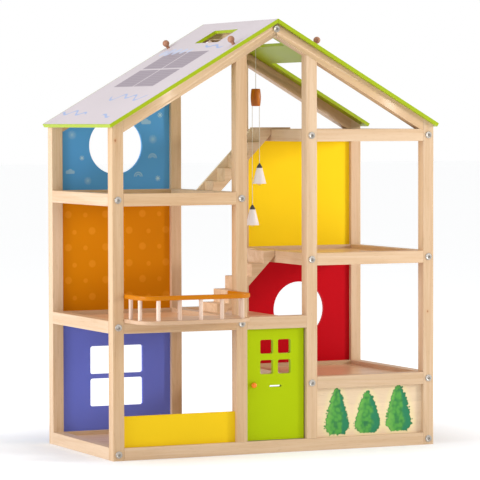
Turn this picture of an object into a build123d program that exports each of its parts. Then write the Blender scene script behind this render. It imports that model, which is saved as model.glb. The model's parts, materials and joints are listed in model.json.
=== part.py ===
from build123d import *
import math
import os

# A split-level wooden doll's house. Millimetres, +Z up, the front of the house faces -Y.
# The origin is on the floor, in the middle of the house's outline: balcony front to roof back.

# Driving dimensions
WIDTH = 600.0            # over the outer posts
DEPTH = 300.0            # over the front and back posts
HEIGHT = 735.0           # floor to ridge
POST = 20.0              # section of the posts, and thickness of every frame member
HALF_STOREY = 105.5      # from one frame level to the next, the two halves being split
BEAM = 21.0              # height of beams, sills and side rails
MIDDLE_BAY = 111.0       # clear width between the two inner posts
ROOF_PITCH = 30.0        # degrees
ROOF_SHEET = 6.0
ROOF_OUT_X = 7.5         # how far the roof passes the outer posts
ROOF_OUT_Y = 7.0         # how far the roof passes the front and back posts
RAFTER = 19.0            # depth of a rafter, square to the slope
BALCONY_REACH = 80.0     # from the front of the posts to the edge of the deck
PANEL = 5.0              # thickness of the coloured wall panels and floors
PANEL_SETBACK = 7.0      # from the front of a post to the face of its panel
FLOOR_DROP = 7.0         # from the top of a beam down to the floor beside it
LET_IN = 3.0             # how deep panels and floors sit in their grooves
EASE = 1.0               # rounding of the long edges
GAP = 0.3                # clearance round the pieces that lift out

FRONT = BALCONY_REACH - (BALCONY_REACH + DEPTH + ROOF_OUT_Y) / 2
BACK = FRONT + DEPTH
MIDDLE_Y = (FRONT + BACK) / 2
OUTER = WIDTH / 2
INNER = MIDDLE_BAY / 2
SIDE_BAY = (OUTER - POST, INNER + POST)
SIDE_BAY_X = (SIDE_BAY[0] + SIDE_BAY[1]) / 2

SLOPE = math.tan(math.radians(ROOF_PITCH))
SHEET_DROP = ROOF_SHEET / math.cos(math.radians(ROOF_PITCH))
RAFTER_DROP = (ROOF_SHEET + RAFTER) / math.cos(math.radians(ROOF_PITCH))
SLOPE_LENGTH = (OUTER + ROOF_OUT_X) / math.cos(math.radians(ROOF_PITCH))

os.makedirs("parts", exist_ok=True)


def save(shape, node):
    shape.label = node
    export_step(shape, f"parts/{node}.step")


def group(solids, node):
    save(Compound(children=list(solids)), node)


def block(x0, x1, y0, y1, z0, z1):
    size = (abs(x1 - x0), abs(y1 - y0), abs(z1 - z0))
    return Pos((x0 + x1) / 2, (y0 + y1) / 2, (z0 + z1) / 2) * Box(*size)


def ease(shape, axis, radius=EASE):
    """Round the long edges of a straight piece, as they are sanded on the real one."""
    return fillet(shape.edges().filter_by(axis), radius)


def prism_y(points, y0, y1):
    """A solid whose outline is drawn in the XZ plane and which runs from y0 to y1."""
    outline = Polyline(*[(x, y0, z) for x, z in points], close=True)
    return Solid.extrude(Face(Wire(outline.edges())), Vector(0, y1 - y0, 0))


def level(step):
    """The underside of the frame at a half-storey step: even steps left, odd steps right."""
    return step * HALF_STOREY


def below_roof(drop):
    """Everything under the two roof slopes, lowered by drop from the roof's top face."""
    far = OUTER + 50
    ridge = HEIGHT - drop
    eave = ridge - far * SLOPE
    outline = [(-far, -50), (far, -50), (far, eave), (0, ridge), (-far, eave)]
    return prism_y(outline, FRONT - 60, BACK + 60)


UNDER_SHEET = below_roof(SHEET_DROP)
UNDER_RAFTERS = below_roof(RAFTER_DROP)

# Levels, in half-storey steps from the ground
LEFT_STEPS = (2, 4)
RIGHT_STEPS = (1, 3, 5)
LANDING_STEP = 2


# Wall panels. Each is let into grooves in the posts and beams around it.
def panel(side, z0, z1, front=False):
    near = side * (SIDE_BAY[1] - LET_IN)
    far = side * (SIDE_BAY[0] + LET_IN)
    face = FRONT + PANEL_SETBACK if front else BACK - POST + PANEL_SETBACK
    return block(near, far, face, face + PANEL, z0, z1)


def through(x, z, width, height, radius):
    """A round-cornered hole through a wall, drawn centred on x and z."""
    outline = Plane.XZ.offset(-MIDDLE_Y) * Pos(x, z) * RectangleRounded(width, height, radius)
    return extrude(outline, DEPTH, both=True)


def round_hole(x, z, radius):
    outline = Plane.XZ.offset(-MIDDLE_Y) * Pos(x, z) * Circle(radius)
    return extrude(outline, DEPTH, both=True)


PORTHOLE = 50.0          # radius of the two round windows
PANE = (45.5, 49.0)      # one pane of the four-pane window
GLAZING_BAR = 8.0

BLUE_HOLE_Z = 520.0
RED_HOLE_Z = 222.0
WINDOW_Z = 115.5
LOW_WALL_TOP = 73.0


def four_panes(x, z, pane, bars, radius):
    """The four openings of a window whose panes are divided by bars."""
    holes = []
    for side in (-1, 1):
        for row in (-1, 1):
            dx = side * (pane[0] + bars[0]) / 2
            dz = row * (pane[1] + bars[1]) / 2
            holes.append(through(x + dx, z + dz, pane[0], pane[1], radius))
    return holes


blue = panel(-1, level(4) + BEAM - LET_IN, HEIGHT) & below_roof(RAFTER_DROP - LET_IN)
blue = blue - round_hole(-SIDE_BAY_X, BLUE_HOLE_Z, PORTHOLE)
orange = panel(-1, level(2) + BEAM - LET_IN, level(4) + LET_IN)
purple = panel(-1, BEAM - LET_IN, level(2) + LET_IN)
for hole in four_panes(-SIDE_BAY_X, WINDOW_Z, PANE, (GLAZING_BAR, GLAZING_BAR), 4):
    purple = purple - hole
yellow = panel(1, level(3) + BEAM - LET_IN, level(5) + LET_IN)
red = panel(1, level(1) + BEAM - LET_IN, level(3) + LET_IN)
red = red - round_hole(SIDE_BAY_X, RED_HOLE_Z, PORTHOLE)
low_wall = panel(-1, BEAM - LET_IN, LOW_WALL_TOP, front=True)
tree_panel = panel(1, BEAM - LET_IN, level(1) + LET_IN, front=True)
PANELS = {
    "attic_wall_blue": blue,
    "upper_wall_orange": orange,
    "lower_wall_purple": purple,
    "upper_wall_yellow": yellow,
    "lower_wall_red": red,
    "low_front_wall_yellow": low_wall,
    "front_wall_trees": tree_panel,
}


# Floors. Each is let into the beams and rails round its bay.
def floor_board(x0, x1, step):
    top = level(step) + BEAM - FLOOR_DROP
    y0 = FRONT + POST - LET_IN
    y1 = BACK - POST + LET_IN
    return block(x0, x1, y0, y1, top - PANEL, top)


far, near = SIDE_BAY[0] + LET_IN, SIDE_BAY[1] - LET_IN
ground_floor = floor_board(-far, far, 0)
landing_floor = floor_board(-INNER - LET_IN, INNER, LANDING_STEP)
left_floors = [floor_board(-far, -near, step) for step in LEFT_STEPS]
right_floors = [floor_board(near, far, step) for step in RIGHT_STEPS]

# The balcony deck is needed early: its tail is housed in the beam behind it.
DECK = (229.5, 236.0)    # underside and top
DECK_TAIL = 14.0         # how far the deck runs back onto the beam
DECK_CORNER = 32.0
deck_x = (-SIDE_BAY[0] + GAP, -SIDE_BAY[1] - GAP)


def round_front(shape, radius):
    corners = shape.edges().filter_by(Axis.Z).sort_by(Axis.Y)[:2]
    return fillet(corners, radius)


deck = block(deck_x[0], deck_x[1], FRONT - BALCONY_REACH, FRONT + DECK_TAIL, DECK[0], DECK[1])
deck = round_front(deck, DECK_CORNER)

# Connecting bolts: each runs through a post, or the rafters, into the end of a side rail.
BOLT_HOLE = 3.2
BOLT_SHANK = 3.0
BOLT_HEAD = 6.0
HEAD_THICK = 1.5
BOLT_REACH = 44.0
RIDGE_BOLT_Z = 718.0
outer_x, inner_x = OUTER - POST / 2, INNER + POST / 2
BOLT_PLACES = [(-outer_x, step) for step in (0, 2, 4)]
BOLT_PLACES += [(-inner_x, step) for step in LEFT_STEPS]
BOLT_PLACES += [(inner_x, step) for step in RIGHT_STEPS]
BOLT_PLACES += [(outer_x, step) for step in (0, 1, 3, 5)]
BOLT_XZ = [(x, level(step) + BEAM / 2) for x, step in BOLT_PLACES] + [(0, RIDGE_BOLT_Z)]


def rod_y(x, z, radius, y0, y1):
    length = abs(y1 - y0)
    return Pos(x, (y0 + y1) / 2, z) * Rot(90, 0, 0) * Cylinder(radius, length)


def bolt(x, z, face, inward):
    """A cap bolt with a hexagon socket; inward is +1 at the front and -1 at the back."""
    head = rod_y(x, z, BOLT_HEAD, face - inward * HEAD_THICK, face)
    shank = rod_y(x, z, BOLT_SHANK, face, face + inward * BOLT_REACH)
    socket_plane = Plane(origin=(x, face - inward * HEAD_THICK, z), z_dir=(0, inward, 0))
    socket = extrude(socket_plane * RegularPolygon(2.6, 6), 4.5)
    return (head + shank) - socket


def bolt_bores():
    bores = []
    for x, z in BOLT_XZ:
        bores.append(rod_y(x, z, BOLT_HOLE, FRONT - 5, FRONT + BOLT_REACH + 2))
        bores.append(rod_y(x, z, BOLT_HOLE, BACK - BOLT_REACH - 2, BACK + 5))
    return bores


# Everything that is cut out of the frame members
GROOVED_IN = list(PANELS.values()) + [ground_floor, landing_floor] + left_floors + right_floors
BORES = bolt_bores()


def touches(a, b):
    first, second = a.bounding_box(), b.bounding_box()
    for axis in ("X", "Y", "Z"):
        if getattr(first.max, axis) <= getattr(second.min, axis):
            return False
        if getattr(second.max, axis) <= getattr(first.min, axis):
            return False
    return True


def worked(member, also=()):
    """Cut the grooves and bores that cross a frame member."""
    for tool in GROOVED_IN + BORES + list(also):
        if touches(member, tool):
            member = member - tool
    return member


# Posts. The outer ones stand on the floor; the inner ones stand on the sills.
def post(x, y0, outer):
    foot = 0 if outer else BEAM
    stock = block(x - POST / 2, x + POST / 2, y0, y0 + POST, foot, HEIGHT)
    stock = ease(stock, Axis.Z)
    return stock & (UNDER_SHEET if outer else UNDER_RAFTERS)


POST_NAMES = {
    "left_outer_post": (-outer_x, True),
    "left_inner_post": (-inner_x, False),
    "right_inner_post": (inner_x, False),
    "right_outer_post": (outer_x, True),
}
ROWS = {"front": FRONT, "back": BACK - POST}


# Beams along the front and back, between the posts
def beam(x0, x1, y0, z0):
    return ease(block(x0, x1, y0, y0 + POST, z0, z0 + BEAM), Axis.X)


def bay_beams(y0):
    left = (-SIDE_BAY[0], -SIDE_BAY[1])
    beams = {
        "attic_beam_left": beam(*left, y0, level(4)),
        "storey_beam_left": beam(*left, y0, level(2)),
        "door_head_beam": beam(-INNER, INNER, y0, level(2)),
    }
    for name, step in zip(("lower_beam_right", "upper_beam_right", "attic_beam_right"), RIGHT_STEPS):
        beams[name] = beam(SIDE_BAY[1], SIDE_BAY[0], y0, level(step)) & UNDER_RAFTERS
    return beams


# Side rails run from front to back between the posts of one frame.
def side_rails():
    rails = []
    for x, step in BOLT_PLACES:
        z0 = level(step)
        stock = block(x - POST / 2, x + POST / 2, FRONT + POST, BACK - POST, z0, z0 + BEAM)
        rails.append(worked(ease(stock, Axis.Y)))
    return rails


# Rafters butt against the outer posts and meet under the ridge.
def rafter(side, y0):
    def z_at(x, drop):
        return HEIGHT - drop - x * SLOPE

    x1 = OUTER - POST
    outline = [(0, z_at(0, SHEET_DROP)), (x1, z_at(x1, SHEET_DROP)),
               (x1, z_at(x1, RAFTER_DROP)), (0, z_at(0, RAFTER_DROP))]
    return prism_y([(side * x, z) for x, z in outline], y0, y0 + POST)


def ridge_beam():
    stock = block(-POST / 2, POST / 2, FRONT + POST, BACK - POST, HEIGHT - RAFTER_DROP, HEIGHT)
    return stock & UNDER_SHEET


# Roof sheets, made flat and laid on the slope. s runs down the slope, n is square to it.
def slope_plane(side):
    """Local x runs down the slope, local y along the house, local z away from the roof."""
    a = math.radians(ROOF_PITCH)
    down = (side * math.cos(a), 0, -math.sin(a))
    out = (side * math.sin(a), 0, math.cos(a))
    return Plane(origin=(0, MIDDLE_Y, HEIGHT), x_dir=down, z_dir=out)


SKYLIGHT = (29.5, 74.5)  # start and end, measured down the slope
SKYLIGHT_LENGTH = 100.0
BAY_OPENING_START = 130.0
ROOF_STRIP = 49.0        # width left in front of and behind the roof's open bay
PEG_DOWN = 87.0          # pegs, measured down the slope
PEG_SHANK = 2.95
PEG_BORE = 3.0
PEG_BALL = 6.0
PEG_BALL_OUT = 9.6       # from the roof's face to the middle of the ball
PEG_REACH = 20.0         # below the roof's face
PEG_Y = DEPTH / 2 - POST / 2


def flat_hole(s0, s1, width, radius):
    hole = Pos((s0 + s1) / 2, 0) * RectangleRounded(s1 - s0, width, radius)
    return extrude(hole, 30, both=True)


def roof_sheet(side, open_bay):
    width = DEPTH + 2 * ROOF_OUT_Y
    sheet = Pos(SLOPE_LENGTH / 2, 0, -ROOF_SHEET / 2) * Box(SLOPE_LENGTH, width, ROOF_SHEET)
    sheet = fillet(sheet.edges().filter_by(Axis.Z).sort_by(Axis.X)[-2:], 2)
    sheet = sheet - flat_hole(*SKYLIGHT, SKYLIGHT_LENGTH, 2)
    if open_bay:
        sheet = sheet - flat_hole(BAY_OPENING_START, SLOPE_LENGTH + 60, width - 2 * ROOF_STRIP, 3)
    for y in (-PEG_Y, PEG_Y):
        sheet = sheet - Pos(PEG_DOWN, y, 0) * Cylinder(PEG_BORE, 40)
    placed = slope_plane(side) * sheet
    past_ridge = block(-side * 60, side * GAP / 2, FRONT - 60, BACK + 60, HEIGHT - 60, HEIGHT + 60)
    return placed - past_ridge


def peg(side, y):
    ball = Pos(PEG_DOWN, y, PEG_BALL_OUT) * Sphere(PEG_BALL)
    shank_top = PEG_BALL_OUT - PEG_BALL / 2
    middle = (shank_top - PEG_REACH) / 2
    shank = Pos(PEG_DOWN, y, middle) * Cylinder(PEG_SHANK, shank_top + PEG_REACH)
    return slope_plane(side) * (ball + shank)


def peg_bores():
    bores = []
    for side in (-1, 1):
        for y in (-PEG_Y, PEG_Y):
            bore = Pos(PEG_DOWN, y, 0) * Cylinder(PEG_BORE, 2 * PEG_REACH + 2)
            bores.append(slope_plane(side) * bore)
    return bores


# Front door: a leaf that turns on two steel pins, with its hinge edge fully rounded
LEAF = 8.0
LEAF_GAP = 0.6
DOOR_PIN = 2.0
DOOR_PIN_CLEARANCE = 0.05
DOOR_PIN_OUT = 6.0
DOOR_PIN_IN = 9.0
HINGE_X = INNER - LEAF_GAP - LEAF / 2
HINGE_Y = FRONT + PANEL_SETBACK + LEAF / 2
DOOR_Z = (BEAM + LEAF_GAP, level(2) - LEAF_GAP)
DOOR_PANE = (24.0, 24.0)
DOOR_BARS = (9.0, 10.5)
DOOR_WINDOW_Z = 163.0
LETTER_SLOT = (22.5, 3.0)
LETTER_SLOT_Z = 113.0
KNOB_XZ = (-42.5, 116.0)
KNOB = 4.7


def pin(z0, z1, radius):
    return Pos(HINGE_X, HINGE_Y, (z0 + z1) / 2) * Cylinder(radius, z1 - z0)


def door_pins():
    low, high = DOOR_Z
    return [pin(low - DOOR_PIN_OUT, low + DOOR_PIN_IN, DOOR_PIN),
            pin(high - DOOR_PIN_IN, high + DOOR_PIN_OUT, DOOR_PIN)]


def pin_bores():
    low, high = DOOR_Z
    radius = DOOR_PIN + DOOR_PIN_CLEARANCE
    return [pin(low - DOOR_PIN_OUT - 1, low, radius), pin(high, high + DOOR_PIN_OUT + 1, radius)]


def door_leaf():
    free_edge = -INNER + LEAF_GAP
    leaf = block(free_edge, HINGE_X, HINGE_Y - LEAF / 2, HINGE_Y + LEAF / 2, *DOOR_Z)
    leaf = fillet(leaf.edges().filter_by(Axis.Z).sort_by(Axis.X)[:2], EASE)
    leaf = leaf + pin(*DOOR_Z, LEAF / 2)
    for hole in four_panes(0, DOOR_WINDOW_Z, DOOR_PANE, DOOR_BARS, 3):
        leaf = leaf - hole
    leaf = leaf - through(0, LETTER_SLOT_Z, *LETTER_SLOT, 1.4)
    for each in door_pins():
        leaf = leaf - each
    return leaf


def door_knob():
    x, z = KNOB_XZ
    face = HINGE_Y - LEAF / 2
    ball = Pos(x, face - KNOB - 0.6, z) * Sphere(KNOB)
    return ball + rod_y(x, z, 2.2, face - KNOB, face)


# Stairs: two flights rise from left to right across the middle bay, both with five steps.
STEPS = 5
RUN = (MIDDLE_BAY - 2 * GAP) / STEPS
RISE = (HALF_STOREY + FLOOR_DROP) / STEPS
WAIST = 10.0             # wood left under the inner corners of the steps
LOWER_STAIR_Y = (127.0, 192.0)
UPPER_STAIR_Y = (142.0, 178.0)
STRING = 5.0             # thickness of the board behind the upper flight
STAIR_X = -INNER + GAP


def steps_outline(z0):
    """Zigzag along the top, straight along the underside, upright at the top end."""
    points = [(STAIR_X, z0)]
    for k in range(STEPS):
        points.append((STAIR_X + k * RUN, z0 + (k + 1) * RISE))
        points.append((STAIR_X + (k + 1) * RUN, z0 + (k + 1) * RISE))
    points.append((STAIR_X + STEPS * RUN, z0 + STEPS * RISE - WAIST))
    points.append((STAIR_X + WAIST * RUN / RISE, z0))
    return points


def lower_stair():
    z0 = level(LANDING_STEP) + BEAM - FLOOR_DROP
    return prism_y(steps_outline(z0), FRONT + LOWER_STAIR_Y[0], FRONT + LOWER_STAIR_Y[1])


def upper_flight():
    """The steps, the straight-edged board behind them and the plate that hooks on the rail."""
    z0 = level(4) + BEAM - FLOOR_DROP
    y0, y1 = FRONT + UPPER_STAIR_Y[0], FRONT + UPPER_STAIR_Y[1]
    flight = prism_y(steps_outline(z0), y0, y1)
    x1, top = STAIR_X + STEPS * RUN, z0 + STEPS * RISE
    rail_top = level(4) + BEAM
    pitch = RISE / RUN
    start = STAIR_X - (z0 + RISE - rail_top) / pitch
    string = [(start, rail_top), (x1 - RUN, top), (x1, top), (x1, top - WAIST),
              (STAIR_X + WAIST / pitch, z0), (STAIR_X, z0), (STAIR_X, rail_top)]
    board = prism_y(string, y1, y1 + STRING)
    plate = block(x1 - RUN, INNER + POST + 18, y0, y1 + STRING, top, top + 3)
    return flight, board, ease(plate, Axis.Z, 2)


# Balcony handrail and balusters
HANDRAIL = (269.5, 277.0)
HANDRAIL_WIDTH = 9.0
HANDRAIL_TAIL = 18.0
BALUSTER = 3.5           # radius
BALUSTER_PITCH = 38.0
BALUSTER_INSET = 5.0     # from the deck's edge to a baluster's middle
LEFT_BALUSTERS = (17.0, 55.0)      # in front of the posts
RIGHT_BALUSTERS = (28.0,)
FRONT_BALUSTERS = 5


def handrail():
    outer = block(deck_x[0], deck_x[1], FRONT - BALCONY_REACH, FRONT + HANDRAIL_TAIL, *HANDRAIL)
    outer = round_front(outer, DECK_CORNER)
    inner = block(deck_x[0] + HANDRAIL_WIDTH, deck_x[1] - HANDRAIL_WIDTH,
                  FRONT - BALCONY_REACH + HANDRAIL_WIDTH, FRONT + 60,
                  HANDRAIL[0] - 5, HANDRAIL[1] + 5)
    return outer - round_front(inner, DECK_CORNER - HANDRAIL_WIDTH)


def under_rail(x, y):
    """A place beside a rounded corner, moved onto the middle of the rail's bend."""
    bend_x = min(max(x, deck_x[0] + DECK_CORNER), deck_x[1] - DECK_CORNER)
    bend_y = max(y, FRONT - BALCONY_REACH + DECK_CORNER)
    share = (DECK_CORNER - BALUSTER_INSET) / math.hypot(x - bend_x, y - bend_y)
    return bend_x + (x - bend_x) * share, bend_y + (y - bend_y) * share


def balusters():
    left, right = deck_x[0] + BALUSTER_INSET, deck_x[1] - BALUSTER_INSET
    places = [(left, FRONT - y) for y in LEFT_BALUSTERS]
    places += [(right, FRONT - y) for y in RIGHT_BALUSTERS]
    start = deck_x[0] + 30
    row = FRONT - BALCONY_REACH + BALUSTER_INSET
    places += [(start + k * BALUSTER_PITCH, row) for k in range(FRONT_BALUSTERS)]
    places = [under_rail(x, y) for x, y in places]
    middle, height = (DECK[1] + HANDRAIL[0]) / 2, HANDRAIL[0] - DECK[1]
    return [Pos(x, y, middle) * Cylinder(BALUSTER, height) for x, y in places]


# Hanging lamps: an eye in the ridge beam, a ring, a cord, a bead and two lamps on strands
PENDANT_Y = FRONT + 85.0
EYE = (3.0, 0.7)         # radius of the ring of wire, and of the wire
RING = (2.6, 0.5)
CORD = 0.5               # radius of the cord
LOOP = 1.7
EYE_Z = HEIGHT - RAFTER_DROP - 4.7
EYE_PIVOT_Z = EYE_Z - EYE[0]
RING_Z = EYE_PIVOT_Z + 1.5 - RING[0]
CORD_PIVOT_Z = RING_Z - RING[0]
BEAD_Z = (588.0, 618.0)
BEAD_RADIUS = (7.6, 9.0)           # at the ends and in the middle
STRAND_X = 6.7
STRAND_PIVOT_Z = BEAD_Z[0] - CORD - 0.1
LAMPS = {"short": (STRAND_X, 490.0), "long": (-STRAND_X, 419.0)}   # top of the cap
CAP = (1.4, 5.0, 8.0)              # top radius, bottom radius, height
SHADE = (5.2, 11.8, 27.0)
BULB = 4.6
BULB_OUT = 3.0


def upright(x, radius, z0, z1):
    return Pos(x, PENDANT_Y, (z0 + z1) / 2) * Cylinder(radius, z1 - z0)


def ceiling_eye():
    eye = Pos(0, PENDANT_Y, EYE_Z) * Rot(90, 0, 0) * Torus(*EYE)
    return eye + upright(0, EYE[1], EYE_Z + EYE[0], HEIGHT - RAFTER_DROP + 8)


def hanging_ring():
    return Pos(0, PENDANT_Y, RING_Z) * Rot(0, 90, 0) * Torus(*RING)


def main_cord():
    loop = Pos(0, PENDANT_Y, CORD_PIVOT_Z) * Rot(90, 0, 0) * Torus(LOOP, CORD)
    return loop + upright(0, CORD, BEAD_Z[1], CORD_PIVOT_Z - LOOP)


def bead():
    low, high = BEAD_Z
    end, middle = BEAD_RADIUS
    side = ThreePointArc((end, 0, low), (middle, 0, (low + high) / 2), (end, 0, high))
    rest = Polyline((end, 0, high), (0, 0, high), (0, 0, low), (end, 0, low))
    profile = Face(Wire(side.edges() + rest.edges()))
    return Pos(0, PENDANT_Y, 0) * revolve(profile, Axis.Z)


def strand(x, cap_top):
    return upright(x, CORD, cap_top, STRAND_PIVOT_Z) + Pos(x, PENDANT_Y, STRAND_PIVOT_Z) * Sphere(CORD)


def cone(x, top_z, top, bottom, height):
    return Pos(x, PENDANT_Y, top_z - height / 2) * Cone(bottom, top, height)


def build():
    for node, shape in PANELS.items():
        save(shape, node)
    save(ground_floor, "ground_floor")
    group([landing_floor] + left_floors + right_floors, "raised_floors")

    for row, y0 in ROWS.items():
        for name, (x, outer) in POST_NAMES.items():
            save(worked(post(x, y0, outer)), f"{row}_{name}")
        sill = beam(-SIDE_BAY[0], SIDE_BAY[0], y0, 0)
        save(worked(sill, pin_bores()), f"{row}_sill")
        rafters = [worked(rafter(side, y0), peg_bores()) for side in (-1, 1)]
        group(rafters, f"{row}_rafters")
    for name, shape in bay_beams(FRONT).items():
        save(worked(shape, pin_bores() + [deck]), f"front_{name}")
    group([worked(shape) for shape in bay_beams(BACK - POST).values()], "back_beams")
    group(side_rails(), "side_rails")

    eye = ceiling_eye()
    save(worked(ridge_beam(), [eye]), "ridge_beam")
    faces = ((FRONT, 1), (BACK, -1))
    group([bolt(x, z, face, inward) for face, inward in faces for x, z in BOLT_XZ], "bolts")

    save(roof_sheet(-1, open_bay=False), "roof_sheet_left")
    save(roof_sheet(1, open_bay=True), "roof_sheet_right")
    for side, side_name in ((-1, "left"), (1, "right")):
        for y, row in ((-PEG_Y, "front"), (PEG_Y, "back")):
            save(peg(side, y), f"roof_peg_{side_name}_{row}")

    save(door_leaf(), "door_leaf")
    save(door_knob(), "door_knob")
    group(door_pins(), "door_pins")

    save(lower_stair(), "lower_stair")
    flight, board, plate = upper_flight()
    save(flight, "upper_stair_steps")
    save(board, "upper_stair_string")
    save(plate, "upper_stair_plate")

    save(deck, "balcony_deck")
    save(handrail(), "balcony_handrail")
    group(balusters(), "balcony_balusters")

    save(eye, "ceiling_eye")
    save(hanging_ring(), "hanging_ring")
    save(main_cord(), "lamp_cord")
    save(bead(), "cord_bead")
    for name, (x, cap_top) in LAMPS.items():
        save(strand(x, cap_top), f"{name}_strand")
        save(cone(x, cap_top, *CAP), f"{name}_lamp_cap")
        shade_bottom = cap_top - CAP[2] - SHADE[2]
        bulb = Pos(x, PENDANT_Y, shade_bottom + BULB - BULB_OUT) * Sphere(BULB)
        save(cone(x, cap_top - CAP[2], *SHADE) - bulb, f"{name}_lamp_shade")
        save(bulb, f"{name}_lamp_bulb")


build()
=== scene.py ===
# %% [markdown]
# # A split-level doll's house in wood and bright paint
# The house is an open frame of square posts and beams, with coloured wall boards let into
# it, a lift-off roof, loose stairs, a balcony, a hinged door and two hanging lamps.
# The measured model is loaded first and never moved: each piece here is placed from it.

# %% Load the measured model
import json
import math

import bmesh
import bpy
from mathutils import Matrix, Vector

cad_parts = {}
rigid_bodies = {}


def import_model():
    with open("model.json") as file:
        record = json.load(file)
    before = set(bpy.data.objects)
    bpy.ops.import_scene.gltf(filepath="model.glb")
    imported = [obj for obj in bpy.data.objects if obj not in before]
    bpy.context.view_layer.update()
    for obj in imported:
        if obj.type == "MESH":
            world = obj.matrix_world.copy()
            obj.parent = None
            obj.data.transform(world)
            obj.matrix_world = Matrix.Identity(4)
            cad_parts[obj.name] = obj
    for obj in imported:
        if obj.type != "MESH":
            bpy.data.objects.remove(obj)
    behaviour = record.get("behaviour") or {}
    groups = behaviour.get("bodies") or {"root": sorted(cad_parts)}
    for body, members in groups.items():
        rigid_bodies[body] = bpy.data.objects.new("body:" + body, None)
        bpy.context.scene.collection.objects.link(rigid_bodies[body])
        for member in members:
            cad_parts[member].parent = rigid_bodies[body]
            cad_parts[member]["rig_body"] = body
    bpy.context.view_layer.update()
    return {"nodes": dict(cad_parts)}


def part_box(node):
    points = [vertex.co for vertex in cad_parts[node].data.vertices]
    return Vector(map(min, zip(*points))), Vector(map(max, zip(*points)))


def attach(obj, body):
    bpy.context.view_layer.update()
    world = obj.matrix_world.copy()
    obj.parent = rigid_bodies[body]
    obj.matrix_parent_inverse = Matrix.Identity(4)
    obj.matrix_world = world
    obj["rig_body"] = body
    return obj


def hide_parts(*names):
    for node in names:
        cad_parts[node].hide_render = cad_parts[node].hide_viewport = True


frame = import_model()

# %% [markdown]
# ## Camera
# A long lens from well back keeps the posts nearly parallel.
# The camera stands to the left of the house, a little above its middle.

# %% Camera
CAMERA_PLACE = (-2.0786, -4.5413, 0.5648)
CAMERA_TURN = (90 - 2.381, 0.133, -24.418)

lens = bpy.data.cameras.new("camera")
lens.lens = 216.9
lens.sensor_width = 36
lens.clip_end = 100
camera = bpy.data.objects.new("camera", lens)
camera.location = CAMERA_PLACE
camera.rotation_euler = [math.radians(angle) for angle in CAMERA_TURN]
bpy.context.scene.collection.objects.link(camera)
bpy.context.scene.camera = camera
print("camera", round(Vector(CAMERA_PLACE).length, 2), "m away, lens", lens.lens, "mm")

# %% [markdown]
# ## Light
# A white room: the sky is pure white to the eye but lights the house more softly, a wide
# soft box stands on the left, a smaller one grazes the front from the right so that every
# recessed board gets a band of shade along its right edge, and a third hangs overhead.

# %% Sky
SKY_LIGHT = 0.58

world = bpy.data.worlds.new("white_room")
world.use_nodes = True
sky = world.node_tree
seen = sky.nodes["Background"]
seen.inputs["Color"].default_value = (1, 1, 1, 1)
seen.inputs["Strength"].default_value = 1.0
lighting = sky.nodes.new("ShaderNodeBackground")
lighting.inputs["Color"].default_value = (1.0, 0.985, 0.965, 1)
lighting.inputs["Strength"].default_value = SKY_LIGHT
eye_or_light = sky.nodes.new("ShaderNodeLightPath")
choose = sky.nodes.new("ShaderNodeMixShader")
sky.links.new(eye_or_light.outputs["Is Camera Ray"], choose.inputs[0])
sky.links.new(lighting.outputs[0], choose.inputs[1])
sky.links.new(seen.outputs[0], choose.inputs[2])
sky.links.new(choose.outputs[0], sky.nodes["World Output"].inputs["Surface"])
bpy.context.scene.world = world
bpy.context.scene.view_settings.view_transform = "Standard"
print("sky strength", SKY_LIGHT)

# %% Soft boxes
AIM = Vector((0, 0.03, 0.36))


def soft_box(name, place, size, level, colour=(1, 1, 1)):
    """A square area light aimed at the house. level is the brightness it gives a white card."""
    offset = Vector(place) - AIM
    data = bpy.data.lights.new(name, "AREA")
    data.size = size
    data.energy = level * math.pi ** 2 * offset.length_squared
    data.color = colour
    lamp = bpy.data.objects.new(name, data)
    lamp.location = place
    lamp.rotation_euler = offset.to_track_quat("Z", "Y").to_euler()
    bpy.context.scene.collection.objects.link(lamp)
    print(name, "energy", round(data.energy, 1), "W")


soft_box("soft_box_left", (-2.8, -0.2, 1.0), 1.8, 0.78, (0.95, 0.97, 1.05))
soft_box("soft_box_right", (1.8, -1.0, 0.75), 0.4, 0.48, (1.0, 0.97, 0.93))
soft_box("soft_box_above", (0.1, -0.7, 2.8), 1.8, 0.28)

# %% [markdown]
# ## Floor
# The floor is one wide pale sheet. The bmesh grid operator makes it. It is not part of the toy.

# %% Floor
floor_mesh = bpy.data.meshes.new("floor")
bm = bmesh.new()
bmesh.ops.create_grid(bm, x_segments=1, y_segments=1, size=30)
bm.to_mesh(floor_mesh)
bm.free()
floor = bpy.data.objects.new("floor", floor_mesh)
bpy.context.scene.collection.objects.link(floor)
print("floor", floor.dimensions.x, "m across")

# %% [markdown]
# ## Helpers for shader nodes
# A material is a small tree of nodes. These helpers add a node, fill its sockets with a
# value or a link, and hand back what it puts out, so a whole finish reads like a recipe.

# %% Node helpers
def srgb(red, green, blue):
    """A paint colour from a colour card, in the linear values that sockets hold."""
    linear = [((v / 255 + 0.055) / 1.055) ** 2.4 if v > 10 else v / 3295 for v in (red, green, blue)]
    return (*linear, 1.0)


def fill(tree, socket, value):
    if isinstance(value, bpy.types.NodeSocket):
        tree.links.new(value, socket)
    else:
        socket.default_value = value


def put(tree, kind, sockets=None, **settings):
    """Add one shader node with its settings, and fill its sockets by name or number."""
    made = tree.nodes.new(kind)
    for name, value in settings.items():
        setattr(made, name, value)
    for key, value in (sockets or {}).items():
        fill(tree, made.inputs[key], value)
    return made


def calc(tree, operation, *values, clamp=False):
    sockets = dict(enumerate(values))
    return put(tree, "ShaderNodeMath", sockets, operation=operation, use_clamp=clamp).outputs[0]


def times(tree, *values):
    """All the values multiplied, as masks are to keep only what lies in every one of them."""
    total, *rest = values
    for value in rest:
        total = calc(tree, "MULTIPLY", total, value)
    return total


def diagonal(tree, across, up):
    """How far apart two points are, from the two sides of the right angle between them."""
    return calc(tree, "SQRT", calc(tree, "ADD", times(tree, across, across), times(tree, up, up)))


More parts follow.
